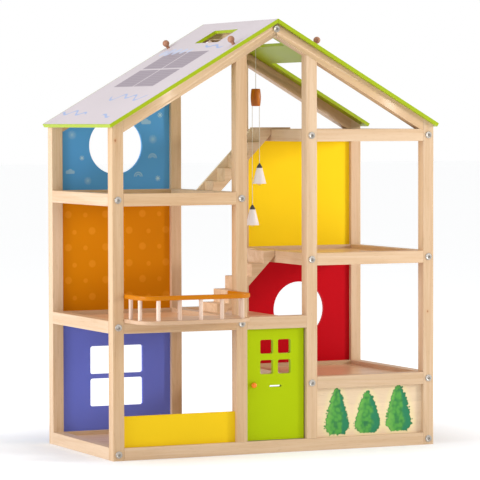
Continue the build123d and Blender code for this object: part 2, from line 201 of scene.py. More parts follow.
def ramp(tree, value, low, high, start=0.0, end=1.0):
    """Values from low to high become start to end, with a soft S-shaped change."""
    sockets = {"Value": value, 1: low, 2: high, 3: start, 4: end}
    return put(tree, "ShaderNodeMapRange", sockets, interpolation_type="SMOOTHSTEP").outputs[0]


def tint(tree, share, under, over):
    """Lay one colour over another. The colour sockets of a Mix node are numbers 6 and 7."""
    return put(tree, "ShaderNodeMix", {0: share, 6: under, 7: over}, data_type="RGBA").outputs[2]


def noise(tree, vector, scale, detail=2.0, rough=0.5, twist=0.0):
    sockets = {"Vector": vector, "Scale": scale, "Detail": detail, "Roughness": rough,
               "Distortion": twist}
    return put(tree, "ShaderNodeTexNoise", sockets).outputs["Fac"]


def vector_calc(tree, operation, *values):
    return put(tree, "ShaderNodeVectorMath", dict(enumerate(values)), operation=operation).outputs[0]


def vector_length(tree, vector):
    return put(tree, "ShaderNodeVectorMath", {0: vector}, operation="LENGTH").outputs["Value"]


def stretch(tree, vector, scale):
    return vector_calc(tree, "MULTIPLY", vector, scale)


def object_place(tree):
    """Where a point of the piece is, in the house's own metres."""
    return put(tree, "ShaderNodeTexCoord").outputs["Object"]


def split(tree, vector):
    return put(tree, "ShaderNodeSeparateXYZ", {0: vector}).outputs


def start_group(name, inputs, outputs):
    """An empty node group with named sockets. Returns its tree, its inputs and its output node."""
    tree = bpy.data.node_groups.new(name, "ShaderNodeTree")
    for label, kind in inputs.items():
        tree.interface.new_socket(label, in_out="INPUT", socket_type="NodeSocket" + kind)
    for label, kind in outputs.items():
        tree.interface.new_socket(label, in_out="OUTPUT", socket_type="NodeSocket" + kind)
    return tree, tree.nodes.new("NodeGroupInput").outputs, tree.nodes.new("NodeGroupOutput")


def use(tree, group, **sockets):
    """Place a node group in a tree. Socket names have capitals and spaces, keywords do not."""
    made = tree.nodes.new("ShaderNodeGroup")
    made.node_tree = group
    for key, value in sockets.items():
        fill(tree, made.inputs[key.replace("_", " ").title()], value)
    return made.outputs


print("helpers ready")

# %% [markdown]
# ## Wood grain
# The frame is pale, close-grained wood under clear lacquer. Its figure is long and thin, so
# one noise is stretched along the board for the broad streaks, a second makes the fibres and
# a third the short dark pores. Every board starts at its own random place in the pattern, so
# two boards beside each other never share a streak.

# %% Wood grain group
grain, given, result = start_group(
    "wood_grain",
    {"Vector": "Vector", "Board": "Vector", "Light": "Color", "Dark": "Color", "Figure": "Float"},
    {"Color": "Color", "Roughness": "Float", "Height": "Float"})
board = put(grain, "ShaderNodeTexWhiteNoise", {"Vector": given["Board"]}, noise_dimensions="3D")
far_away = stretch(grain, board.outputs["Color"], (9, 9, 9))
place = vector_calc(grain, "ADD", given["Vector"], far_away)
streaks = noise(grain, stretch(grain, place, (55, 55, 2.6)), 1, 4, 0.6, 0.9)
fibres = noise(grain, stretch(grain, place, (520, 520, 14)), 1, 3, 0.55, 0.2)
pore_noise = noise(grain, stretch(grain, place, (1500, 1500, 60)), 1, 1, 0.5)
pores = ramp(grain, pore_noise, 0.66, 0.74)
cloudy = noise(grain, place, 7, 2, 0.5)
figure = ramp(grain, streaks, 0.36, 0.68)
fine = ramp(grain, fibres, 0.3, 0.72)
share = calc(grain, "MULTIPLY_ADD", fine, 0.22, times(grain, figure, given["Figure"]))
share = calc(grain, "MULTIPLY_ADD", cloudy, 0.16, share, clamp=True)
wood_colour = tint(grain, share, given["Light"], given["Dark"])
board_tone = calc(grain, "MULTIPLY_ADD", board.outputs["Value"], 0.1, 0.95)
toned = put(grain, "ShaderNodeHueSaturation", {"Value": board_tone, "Color": wood_colour})
pore_colour = tint(grain, times(grain, pores, 0.3), toned.outputs[0], srgb(140, 96, 58))
fill(grain, result.inputs["Color"], pore_colour)
fill(grain, result.inputs["Roughness"], calc(grain, "MULTIPLY_ADD", fine, 0.12, 0.38))
fill(grain, result.inputs["Height"], calc(grain, "SUBTRACT", times(grain, fine, 0.4), pores))
print("wood grain:", len(grain.nodes), "nodes")

# %% [markdown]
# ## Worn and rounded edges
# Sanded edges catch the light and are the first to wear. Cycles' Bevel node bends the normal
# near an edge; where it differs from the true one, an edge is near. A noise breaks it up.

# %% Edge group
edge, given, result = start_group(
    "edge_wear", {"Vector": "Vector", "Width": "Float"}, {"Mask": "Float"})
rounded = put(edge, "ShaderNodeBevel", {"Radius": given["Width"]}, samples=4).outputs[0]
true_normal = put(edge, "ShaderNodeNewGeometry").outputs["Normal"]
likeness = put(edge, "ShaderNodeVectorMath", {0: rounded, 1: true_normal}, operation="DOT_PRODUCT")
near_edge = calc(edge, "SUBTRACT", 1.0, likeness.outputs["Value"], clamp=True)
scuffs = ramp(edge, noise(edge, given["Vector"], 160, 3, 0.6), 0.35, 0.65, 0.35, 1.0)
fill(edge, result.inputs["Mask"],
     calc(edge, "MULTIPLY", ramp(edge, near_edge, 0.02, 0.22), scuffs, clamp=True))
print("edge wear:", len(edge.nodes), "nodes")


def wear_edges(tree, here, colour, amount, rubbed, width=0.0009):
    """Lay the rubbed colour over the edges."""
    worn = use(tree, edge, vector=here, width=width)["Mask"]
    return tint(tree, times(tree, worn, amount), colour, rubbed)

# %% [markdown]
# ## Which way the grain runs
# A sawn board's grain follows its length: upright in the posts, across in the beams, front to
# back in the side rails and down the slope in the rafters. Each run puts the coordinates in
# another order, with the grain last, and gives each board of a node its own number.

# %% Grain runs
ROOF_ANGLE = math.radians(30)
SIN_ROOF, COS_ROOF = math.sin(ROOF_ANGLE), math.cos(ROOF_ANGLE)
ANY = 10.0                     # a cell so large that it never splits the house
BOARD_CELLS = {                # cell sizes that fall between the boards, and their shift
    "upright": ((0.06, 0.15, ANY), (0.03, 0.2, ANY / 2)),
    "across": ((ANY, 0.15, 0.1055), (ANY / 2, 0.2, 0.03)),
    "deep": ((0.06, ANY, 0.1055), (0.03, ANY / 2, 0.03)),
    "slope": ((ANY, 0.15, ANY), (0, 0.2, ANY / 2)),
}


def grain_run(tree, run):
    """The coordinates with the grain along the third one, and each board's number."""
    here = object_place(tree)
    cell, shift = BOARD_CELLS[run]
    number = vector_calc(tree, "SNAP", vector_calc(tree, "ADD", here, shift), cell)
    x, y, z = split(tree, here)
    order = {"upright": (x, y, z), "across": (y, z, x), "deep": (z, x, y)}.get(run)
    if order is None:
        side = calc(tree, "ABSOLUTE", x)
        down = calc(tree, "SUBTRACT", times(tree, side, COS_ROOF), times(tree, z, SIN_ROOF))
        out = calc(tree, "ADD", times(tree, side, SIN_ROOF), times(tree, z, COS_ROOF))
        order = (y, out, down)
    return put(tree, "ShaderNodeCombineXYZ", dict(enumerate(order))).outputs[0], number, here


print("grain runs:", ", ".join(BOARD_CELLS))

# %% [markdown]
# ## Lacquered wood
# One recipe serves every bare wooden piece. The lacquer is a thin clear coat on the shader
# itself, thicker on the floors, and the pores and fibres are pressed into it with a Bump
# node. The rafters come from a warmer plank. The posts and beams at the front left take the
# same warmer, darker wood as painted shade, and the stair's string board a paler wood as
# painted light. A few posts have a small knot.

# %% Lacquered wood
PALE_WOOD = srgb(215, 188, 157)
DARK_WOOD = srgb(196, 161, 123)
HONEY_WOOD = srgb(208, 178, 142)
HONEY_STREAK = srgb(190, 151, 110)


def new_material(name):
    material = bpy.data.materials.new(name)
    material.use_nodes = True
    return material, material.node_tree, material.node_tree.nodes["Principled BSDF"]


def finish_surface(tree, shader, colour, roughness, height, depth, coat, shine=0.2):
    """Feed the shader. depth is how far the height stands proud, in metres."""
    fill(tree, shader.inputs["Base Color"], colour)
    fill(tree, shader.inputs["Roughness"], roughness)
    bump = put(tree, "ShaderNodeBump", {"Height": height, "Distance": depth, "Strength": 1.0})
    fill(tree, shader.inputs["Normal"], bump.outputs[0])
    shader.inputs["Specular IOR Level"].default_value = shine
    shader.inputs["Coat Weight"].default_value = coat
    shader.inputs["Coat Roughness"].default_value = 0.2


def knot(tree, here, colour, place, size):
    """A small brown knot: a dark eye and a faint ring in the lacquered face."""
    apart = stretch(tree, vector_calc(tree, "SUBTRACT", here, place), (1, 1, 0.7))
    away = vector_length(tree, apart)
    wobble = calc(tree, "MULTIPLY_ADD", noise(tree, here, 260, 2), size * 0.6, away)
    eye = ramp(tree, wobble, size * 0.75, size * 1.25, 1.0, 0.0)
    halo = ramp(tree, wobble, size, size * 2.6, 0.35, 0.0)
    colour = tint(tree, halo, colour, srgb(196, 140, 92))
    return tint(tree, times(tree, eye, 0.75), colour, srgb(150, 92, 54))


def lacquered(name, run, light=PALE_WOOD, dark=DARK_WOOD, figure=0.55, knots=(), coat=0.12):
    material, tree, shader = new_material(name)
    along, number, here = grain_run(tree, run)
    wood = use(tree, grain, vector=along, board=number, light=light, dark=dark, figure=figure)
    colour = wood["Color"]
    for place, size in knots:
        colour = knot(tree, here, colour, place, size)
    colour = wear_edges(tree, here, colour, 0.22, srgb(250, 226, 194), 0.0011)
    finish_surface(tree, shader, colour, wood["Roughness"], wood["Height"], 0.00004, coat)
    return material


KNOTS = [((-0.2944, -0.1135, 0.531), 0.0022), ((-0.3, -0.098, 0.265), 0.0015),
         ((0.2885, -0.1135, 0.232), 0.0016), ((0.3, 0.176, 0.41), 0.0022),
         ((-0.062, 0.1865, 0.318), 0.0021)]
post_wood = lacquered("post_wood", "upright", knots=KNOTS)
# the front-left posts and beams take a warmer, darker wood: painted shade, as their front faces fall
# darker
honey_post_wood_painted_shade = lacquered("honey_post_wood_painted_shade", "upright", HONEY_WOOD, HONEY_STREAK, knots=KNOTS)
beam_wood = lacquered("beam_wood", "across")
honey_beam_wood_painted_shade = lacquered("honey_beam_wood_painted_shade", "across", HONEY_WOOD, HONEY_STREAK)
rail_wood = lacquered("rail_wood", "deep")
rafter_wood = lacquered("rafter_wood", "slope", HONEY_WOOD, HONEY_STREAK, 0.3)
stair_wood = lacquered("stair_wood", "across", srgb(224, 196, 162), srgb(204, 170, 132), 0.7)
# the stair's string board takes a paler wood than the steps: painted light on a board that stands in
# shade
string_wood_painted_light = lacquered("string_wood_painted_light", "slope", srgb(250, 232, 206), srgb(238, 212, 180), 0.4)
plywood = lacquered("floor_plywood", "across", srgb(246, 214, 178), srgb(224, 184, 142), 0.8,
                    coat=0.5)
print("wood finishes:", len(bpy.data.materials))

# %% [markdown]
# ## Paint on plywood
# The wall boards are sprayed with satin paint. Up close the coat has a fine orange-peel
# texture, the grain below it telegraphs through as faint lines, and the edges wear lighter.
# The smaller painted pieces have a clear coat as well, thin on the handrail, thick on the knob.

# %% Paint group
coat_group, given, result = start_group(
    "satin_paint", {"Vector": "Vector", "Paint": "Color"},
    {"Color": "Color", "Roughness": "Float", "Height": "Float"})
drift = noise(coat_group, given["Vector"], 9, 2)
speckle = noise(coat_group, given["Vector"], 900, 2)
below = noise(coat_group, stretch(coat_group, given["Vector"], (420, 420, 9)), 1, 3, 0.6)
value = calc(coat_group, "MULTIPLY_ADD", drift, 0.09, 0.93)
value = calc(coat_group, "MULTIPLY_ADD", speckle, 0.05, value)
painted = put(coat_group, "ShaderNodeHueSaturation", {"Value": value, "Color": given["Paint"]})
fill(coat_group, result.inputs["Color"], painted.outputs[0])
fill(coat_group, result.inputs["Roughness"], calc(coat_group, "MULTIPLY_ADD", drift, 0.14, 0.36))
fill(coat_group, result.inputs["Height"],
     calc(coat_group, "MULTIPLY_ADD", speckle, 0.6, times(coat_group, below, 0.5)))
print("satin paint:", len(coat_group.nodes), "nodes")


# %% Painted finishes
def painted_board(name, paint, pattern=None, coat=0.0, wear=0.25, shine=0.07):
    """Satin paint, with an optional printed pattern drawn over it before the edges wear."""
    material, tree, shader = new_material(name)
    here = object_place(tree)
    satin = use(tree, coat_group, vector=here, paint=paint)
    colour = satin["Color"]
    if pattern:
        colour = pattern(tree, here, colour)
    pale = tuple(min(1.0, c * 0.55 + 0.4) for c in paint[:3]) + (1.0,)
    colour = wear_edges(tree, here, colour, wear, pale)
    finish_surface(tree, shader, colour, satin["Roughness"], satin["Height"], 0.00003, coat, shine)
    return material


purple_board = painted_board("purple_board", srgb(110, 124, 222))
yellow_board = painted_board("yellow_board", srgb(252, 219, 26))
low_yellow_board = painted_board("low_yellow_board", srgb(234, 196, 26))
red_board = painted_board("red_board", srgb(192, 0, 20))
door_green = painted_board("door_green", srgb(168, 190, 2))
rail_orange = painted_board("rail_orange", srgb(190, 112, 0), coat=0.15)
print("painted boards ready")

# %% [markdown]
# ## Printed motifs
# The blue wall has small pale stars, bursts, clouds and arches, and the orange wall has soft
# dots. They are only ink, so they live in the material: each motif is a mask worked out from
# how far a point lies from the motif's middle, in the plane of the wall.

# %% Motif groups
def wall_polar(tree, given):
    """How far a point of the wall is from the motif's middle, in sizes, and at what angle."""
    x, _, z = split(tree, given["Vector"])
    dx = calc(tree, "DIVIDE", calc(tree, "SUBTRACT", x, given["X"]), given["Size"])
    dz = calc(tree, "DIVIDE", calc(tree, "SUBTRACT", z, given["Z"]), given["Size"])
    return dx, dz, diagonal(tree, dx, dz), calc(tree, "ARCTAN2", dz, dx)


AT = {"Vector": "Vector", "X": "Float", "Z": "Float", "Size": "Float"}
star, given, result = start_group(
    "star_motif", {**AT, "Rays": "Float", "Inner": "Float"}, {"Mask": "Float"})
_, _, away, angle = wall_polar(star, given)
wave = calc(star, "ABSOLUTE", calc(star, "COSINE", times(star, angle, given["Rays"])))
ray = calc(star, "POWER", wave, 3.0)
reach = calc(star, "MULTIPLY_ADD", ray, calc(star, "SUBTRACT", 1.0, given["Inner"]), given["Inner"])
fill(star, result.inputs["Mask"], ramp(star, calc(star, "SUBTRACT", reach, away), -0.06, 0.1))

arch, given, result = start_group("arch_motif", AT, {"Mask": "Float"})
_, dz, away, _ = wall_polar(arch, given)
outer = ramp(arch, calc(arch, "ABSOLUTE", calc(arch, "SUBTRACT", away, 0.85)), 0.08, 0.16, 1, 0)
inner = ramp(arch, calc(arch, "ABSOLUTE", calc(arch, "SUBTRACT", away, 0.45)), 0.08, 0.16, 1, 0)
above = ramp(arch, dz, -0.1, 0.05)
fill(arch, result.inputs["Mask"], times(arch, calc(arch, "MAXIMUM", outer, inner), above))

cloud, given, result = start_group("cloud_motif", AT, {"Mask": "Float"})
dx, dz, away, _ = wall_polar(cloud, given)
puffs = ramp(cloud, away, 0.5, 0.6, 1, 0)
for shift, radius in ((-0.62, 0.36), (0.6, 0.4)):
    side = calc(cloud, "ADD", dx, shift)
    low = calc(cloud, "ADD", dz, 0.12)
    puff = ramp(cloud, diagonal(cloud, side, low), radius - 0.05, radius + 0.05, 1, 0)
    puffs = calc(cloud, "MAXIMUM", puffs, puff)
flat_base = ramp(cloud, dz, -0.5, -0.42)
fill(cloud, result.inputs["Mask"], times(cloud, puffs, flat_base))
print("motif groups ready")

# %% Motifs on the blue wall
SPARKLES = [(-0.0933, 0.5735, 0.0055), (-0.0979, 0.4617, 0.0055), (-0.2414, 0.4985, 0.005),
            (-0.152, 0.598, 0.005), (-0.178, 0.4555, 0.0045)]
BURSTS = [(-0.2598, 0.5389, 0.0085), (-0.1073, 0.5308, 0.0085), (-0.2307, 0.4587, 0.0075),
          (-0.205, 0.584, 0.007)]
ARCHES = [(-0.108, 0.4977, 0.0085), (-0.1352, 0.4655, 0.0085), (-0.239, 0.567, 0.0075)]
CLOUDS = [(-0.1199, 0.5617, 0.0095), (-0.2633, 0.475, 0.0085), (-0.176, 0.5795, 0.008)]


def night_sky(tree, here, colour):
    kinds = [(star, SPARKLES, 0.7, {"rays": 4.0, "inner": 0.3}),
             (star, BURSTS, 0.42, {"rays": 6.0, "inner": 0.25}),
             (arch, ARCHES, 0.42, {}), (cloud, CLOUDS, 0.42, {})]
    for group, places, ink, form in kinds:
        for x, z, size in places:
            mask = use(tree, group, vector=here, x=x, z=z, size=size, **form)["Mask"]
            colour = tint(tree, times(tree, mask, ink), colour, srgb(206, 232, 236))
    return colour


blue_board = painted_board("blue_board", srgb(92, 164, 228), night_sky)
print("blue wall:", len(blue_board.node_tree.nodes), "nodes")

# %% [markdown]
# The orange wall's dots repeat: wide ones and narrow ones take turns along a row, and each
# row is shifted from the next. One group draws a lattice of dots, and four of them are laid
# over each other.

# %% Dots on the orange wall
DOT_PITCH = (0.070, 0.0575)
DOT_LATTICES = [(-0.2677, 0.3425, 0.0070), (-0.2355, 0.3415, 0.0046),
                (-0.2230, 0.3710, 0.0070), (-0.2560, 0.3690, 0.0046)]

dots, given, result = start_group("dot_lattice", AT, {"Mask": "Float"})
x, _, z = split(dots, given["Vector"])
apart = []
for coordinate, middle, pitch in ((x, given["X"], DOT_PITCH[0]), (z, given["Z"], DOT_PITCH[1])):
    moved = calc(dots, "ADD", calc(dots, "SUBTRACT", coordinate, middle), pitch / 2)
    apart.append(calc(dots, "SUBTRACT", calc(dots, "FLOORED_MODULO", moved, pitch), pitch / 2))
away = calc(dots, "DIVIDE", diagonal(dots, *apart), given["Size"])
fill(dots, result.inputs["Mask"], ramp(dots, away, 0.72, 1.12, 1, 0))


def soft_dots(tree, here, colour):
    for x, z, size in DOT_LATTICES:
        mask = use(tree, dots, vector=here, x=x, z=z, size=size)["Mask"]
        colour = tint(tree, times(tree, mask, 0.3), colour, srgb(242, 168, 52))
    return colour


orange_board = painted_board("orange_board", srgb(210, 130, 0), soft_dots)
print("orange wall:", len(orange_board.node_tree.nodes), "nodes")

# %% [markdown]
# ## Printed shrubs
# Three clipped shrubs are printed on the bare plywood beside the door. Each outline is a
# width that shrinks towards the tip, and round cells swell it and notch it like leaves. A
# darker rim follows it, the right side is printed darker and bluer, and a pale green glow
# surrounds each shrub. The ink lies only on the board's front face.

# %% Shrub group
LEAF_SCALE = 200.0             # leaves to the metre
LOBES = 0.24                   # how far the leaves swell the outline, in half widths

shrub, given, result = start_group(
    "shrub", {"Vector": "Vector", "X": "Float", "Z": "Float", "Width": "Float", "Height": "Float"},
    {"Mask": "Float", "Glow": "Float", "Side": "Float", "Rise": "Float", "Rim": "Float"})
x, _, z = split(shrub, given["Vector"])
rise = calc(shrub, "DIVIDE", calc(shrub, "SUBTRACT", z, given["Z"]), given["Height"])
side = calc(shrub, "DIVIDE", calc(shrub, "SUBTRACT", x, given["X"]), given["Width"])
leaves = put(shrub, "ShaderNodeTexVoronoi",
             {"Vector": given["Vector"], "Scale": LEAF_SCALE, "Randomness": 0.7})
leafy = calc(shrub, "SUBTRACT", 0.45, leaves.outputs["Distance"])
taper = calc(shrub, "POWER", calc(shrub, "SUBTRACT", 1.0, rise, clamp=True), 0.52)
foot = ramp(shrub, rise, -0.05, 0.2, 0.5, 1.0)
half = times(shrub, taper, foot)
inside = calc(shrub, "SUBTRACT", half, calc(shrub, "ABSOLUTE", side))
lobed = calc(shrub, "MULTIPLY_ADD", leafy, LOBES, inside)
low_edge = calc(shrub, "MULTIPLY_ADD", leafy, 0.05, rise)
high_edge = calc(shrub, "MULTIPLY_ADD", leafy, -0.03, rise)
above_foot = ramp(shrub, low_edge, -0.012, 0.012)
below_tip = ramp(shrub, high_edge, 0.985, 1.0, 1, 0)
fill(shrub, result.inputs["Mask"],
     times(shrub, ramp(shrub, lobed, -0.02, 0.05), above_foot, below_tip))
fill(shrub, result.inputs["Rim"], ramp(shrub, lobed, 0.02, 0.16, 1, 0))
fill(shrub, result.inputs["Glow"],
     times(shrub, ramp(shrub, inside, -0.42, -0.02), ramp(shrub, rise, -0.08, 0.0),
           ramp(shrub, rise, 1.0, 1.06, 1, 0)))
fill(shrub, result.inputs["Side"], calc(shrub, "DIVIDE", side, calc(shrub, "MAXIMUM", half, 0.05)))
fill(shrub, result.inputs["Rise"], rise)
print("shrub:", len(shrub.nodes), "nodes")

# %% Shrub print
SHRUBS = [(0.1162, 0.0240, 0.0272, 0.0822), (0.1748, 0.0246, 0.0292, 0.0745),
          (0.2352, 0.0250, 0.0300, 0.0820)]
PRINT_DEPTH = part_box("front_wall_trees")[0].y + 0.0006


def shrub_print(name):
    material, tree, shader = new_material(name)
    along, number, here = grain_run(tree, "across")
    wood = use(tree, grain, vector=along, board=number, light=srgb(232, 208, 176),
               dark=srgb(222, 195, 160), figure=0.5)
    colour = wood["Color"]
    cells = put(tree, "ShaderNodeTexVoronoi", {"Vector": here, "Scale": 165.0, "Randomness": 1.0},
                feature="SMOOTH_F1")
    leaf_tone = ramp(tree, cells.outputs["Distance"], 0.25, 0.75)
    drift = noise(tree, here, 60, 2)
    front = ramp(tree, split(tree, here)[1], PRINT_DEPTH, PRINT_DEPTH + 0.0004, 1, 0)
    for x, z, width, height in SHRUBS:
        parts = use(tree, shrub, vector=here, x=x, z=z, width=width, height=height)
        colour = tint(tree, times(tree, parts["Glow"], 0.35, front), colour, srgb(232, 226, 158))
        green = tint(tree, leaf_tone, srgb(80, 158, 64), srgb(46, 124, 62))
        lit = calc(tree, "MULTIPLY_ADD", drift, 0.9, parts["Side"])
        green = tint(tree, ramp(tree, lit, 0.72, 1.05), green, srgb(34, 124, 84))
        green = tint(tree, ramp(tree, lit, -0.4, 0.1, 0.5, 0.0), green, srgb(124, 190, 80))
        across = calc(tree, "ABSOLUTE", calc(tree, "ADD", parts["Side"], 0.12))
        up = calc(tree, "ABSOLUTE", calc(tree, "SUBTRACT", parts["Rise"], 0.22))
        hollow = times(tree, ramp(tree, across, 0.1, 0.2, 1, 0), ramp(tree, up, 0.04, 0.08, 1, 0))
        green = tint(tree, times(tree, hollow, 0.6), green, srgb(30, 104, 66))
        green = tint(tree, times(tree, parts["Rim"], 0.7), green, srgb(36, 112, 60))
        colour = tint(tree, times(tree, parts["Mask"], front), colour, green)
    colour = wear_edges(tree, here, colour, 0.2, srgb(250, 232, 204))
    finish_surface(tree, shader, colour, wood["Roughness"], wood["Height"], 0.00003, 0.12)
    return material


shrub_board = shrub_print("shrub_board")
print("shrub wall:", len(shrub_board.node_tree.nodes), "nodes")

# %% [markdown]
# ## Roof print
# The roof sheets are green all round, and their upper faces are printed white, just short of
# the edges. The left sheet also has a solar array of four panels, a small cloud and a few
# loose wavy strokes. The pattern is drawn in the roof's own coordinates: how far down the
# slope a point is, how far along the ridge, and how deep below the upper face.

# %% Roof print
RIDGE = 0.735
MIDDLE_Y = 0.0365
ARRAY_DOWN, ARRAY_ALONG = (0.1055, 0.2260), (-0.0750, 0.1010)
ARRAY_GAP = 0.0022
CELL_LINE = 0.0062
PRINT_ALONG, PRINT_DOWN = 0.1555, 0.3532     # where the white print stops short of the edges
INK_DEPTH = 0.00012
# each stroke: how far down, its two ends along the ridge with the lower first, and its swing
WAVES = [(0.317, 0.028, 0.148, 0.007), (0.263, -0.118, 0.035, 0.0085),
         (0.325, -0.100, -0.057, 0.0045), (0.089, -0.105, -0.020, 0.005)]
LONG_WAVE, SHORT_WAVE = 49.0, 118.0          # radians to the metre
PUFFS = [(0.106, 0.122, 0.011), (0.104, 0.098, 0.014), (0.103, 0.070, 0.012),
         (0.102, 0.042, 0.010), (0.101, 0.015, 0.008)]


def band(tree, value, low, high, soft=0.0005):
    """1 between low and high, and 0 outside, with soft sides."""
    return times(tree, ramp(tree, value, low - soft, low + soft),
                 ramp(tree, value, high - soft, high + soft, 1, 0))


def printed_roof(name):
    material, tree, shader = new_material(name)
    here = object_place(tree)
    x, y, z = split(tree, here)
    along = calc(tree, "SUBTRACT", y, MIDDLE_Y)
    side = calc(tree, "ABSOLUTE", x)
    drop = calc(tree, "SUBTRACT", RIDGE, z)
    down = calc(tree, "ADD", times(tree, side, COS_ROOF), times(tree, drop, SIN_ROOF))
    deep = calc(tree, "SUBTRACT", times(tree, drop, COS_ROOF), times(tree, side, SIN_ROOF))
    green = use(tree, coat_group, vector=here, paint=srgb(154, 173, 4))
    white = use(tree, coat_group, vector=here, paint=srgb(204, 194, 197))["Color"]
    # the solar array: four panels, each ruled with fine lines
    middle_down = sum(ARRAY_DOWN) / 2
    middle_along = sum(ARRAY_ALONG) / 2
    gaps = calc(tree, "MAXIMUM", band(tree, down, middle_down - ARRAY_GAP, middle_down + ARRAY_GAP),
                band(tree, along, middle_along - ARRAY_GAP, middle_along + ARRAY_GAP))
    left_side = ramp(tree, x, -0.001, 0.0, 1, 0)
    array = times(tree, band(tree, down, *ARRAY_DOWN), band(tree, along, *ARRAY_ALONG),
                  calc(tree, "SUBTRACT", 1.0, gaps), left_side)
    rule = ramp(tree, calc(tree, "PINGPONG", down, CELL_LINE / 2), 0.0002, 0.0007, 1, 0)
    grey = tint(tree, times(tree, rule, 0.6), srgb(150, 138, 147), srgb(186, 176, 183))
    top = tint(tree, array, white, grey)
    # loose wavy strokes
    strokes = 0.0
    ripple = calc(tree, "SINE", times(tree, along, SHORT_WAVE))
    swell = calc(tree, "SINE", times(tree, along, LONG_WAVE))
    turn = calc(tree, "MULTIPLY_ADD", swell, 0.6, ripple)
    for start, low, high, swing in WAVES:
        line = calc(tree, "MULTIPLY_ADD", turn, swing * 0.8, start)
        off = calc(tree, "ABSOLUTE", calc(tree, "SUBTRACT", down, line))
        stroke = times(tree, ramp(tree, off, 0.0012, 0.0036, 1, 0),
                       band(tree, along, low, high, 0.004))
        strokes = calc(tree, "MAXIMUM", stroke, strokes)
    # a cloud across the array's upper edge, of overlapping round puffs
    puffs = 0.0
    for at_down, at_along, radius in PUFFS:
        apart = diagonal(tree, calc(tree, "SUBTRACT", down, at_down),
                         calc(tree, "SUBTRACT", along, at_along))
        puffs = calc(tree, "MAXIMUM", puffs, ramp(tree, apart, radius * 0.8, radius * 1.05, 1, 0))
    top = tint(tree, times(tree, strokes, 0.95, left_side), top, srgb(150, 172, 212))
    top = tint(tree, times(tree, puffs, 0.8, left_side), top, srgb(186, 196, 220))
    printed = times(tree, ramp(tree, deep, INK_DEPTH, INK_DEPTH + 0.0001, 1, 0),
                    band(tree, along, -PRINT_ALONG, PRINT_ALONG),
                    ramp(tree, down, PRINT_DOWN, PRINT_DOWN + 0.001, 1, 0))
    colour = tint(tree, printed, green["Color"], top)
    colour = wear_edges(tree, here, colour, 0.1, srgb(214, 230, 110))
    finish_surface(tree, shader, colour, green["Roughness"], green["Height"], 0.00003, 0.15)
    return material


roof_print = printed_roof("roof_print")
print("roof:", len(roof_print.node_tree.nodes), "nodes")

# %% [markdown]
# ## Steel, turned wood and twine
# The small parts need their own finishes: brushed steel with a darker steel painted as shade
# inside the sockets, a stained bead and pegs with upright grain, painted lamps, and a thin
# pale twisted cord.

# %% Small finishes
def steel(name, colour, rough):
    material, tree, shader = new_material(name)
    here = object_place(tree)
    brushed = noise(tree, stretch(tree, here, (2600, 300, 2600)), 1, 3, 0.6)
    marks = noise(tree, here, 420, 2)
    fill(tree, shader.inputs["Base Color"],
         tint(tree, ramp(tree, marks, 0.35, 0.7, 0, 0.35), colour, srgb(160, 155, 148)))
    fill(tree, shader.inputs["Roughness"], calc(tree, "MULTIPLY_ADD", brushed, 0.22, rough))
    bump = put(tree, "ShaderNodeBump", {"Height": brushed, "Distance": 0.00001, "Strength": 1.0})
    fill(tree, shader.inputs["Normal"], bump.outputs[0])
    shader.inputs["Metallic"].default_value = 1.0
    return material


bolt_steel = steel("bolt_steel", srgb(190, 184, 176), 0.28)
socket_steel_painted_shade = steel("socket_steel_painted_shade", srgb(48, 43, 39), 0.45)
wire_steel = steel("wire_steel", srgb(206, 200, 190), 0.28)
bead_stain = lacquered("bead_stain", "upright", srgb(218, 126, 0), srgb(150, 74, 0), 0.95,
                       coat=0.25)
peg_wood = lacquered("peg_wood", "upright", srgb(190, 140, 110), srgb(142, 94, 68), 0.9)
dowel_wood = lacquered("dowel_wood", "upright", srgb(228, 204, 184), srgb(198, 166, 142), 0.8)
deck_wood = lacquered("deck_wood", "across", srgb(206, 174, 144), srgb(190, 154, 120), 0.6)
knob_orange = painted_board("knob_orange", srgb(236, 126, 18), coat=0.7)
cap_grey = painted_board("cap_grey", srgb(74, 72, 74), coat=0.3)
shade_white = painted_board("shade_white", srgb(228, 220, 217), coat=0.2)
bulb_yellow = painted_board("bulb_yellow", srgb(238, 206, 84), coat=0.6)

# %% Twine
STRAND_TURNS = 3600.0          # radians to the metre

twine, tree, shader = new_material("twine")
here = object_place(tree)
x, _, z = split(tree, here)
lay = calc(tree, "SINE", times(tree, calc(tree, "ADD", x, z), STRAND_TURNS))
lay = ramp(tree, lay, -1.0, 1.0)
fuzz = noise(tree, here, 2500, 2)
twine_colour = tint(tree, lay, srgb(196, 188, 172), srgb(232, 226, 212))
twine_colour = tint(tree, times(tree, fuzz, 0.3), twine_colour, srgb(176, 164, 144))
twine_rough = calc(tree, "MULTIPLY_ADD", fuzz, 0.2, 0.7)
finish_surface(tree, shader, twine_colour, twine_rough, lay, 0.00012, 0.0)
print("twine:", len(tree.nodes), "nodes")

# %% [markdown]
# ## Floor finish
# The floor should fade to white all round without losing the soft shadow at the house's foot.
# So it gives off a little light of its own: hardly any beside the house, and more the further
# away a point is from the house's outline.

# %% Floor finish
HOUSE_HALF = (0.3, 0.15, 0)
FADE, GLOW_NEAR, GLOW_FAR = 0.45, 0.05, 0.45

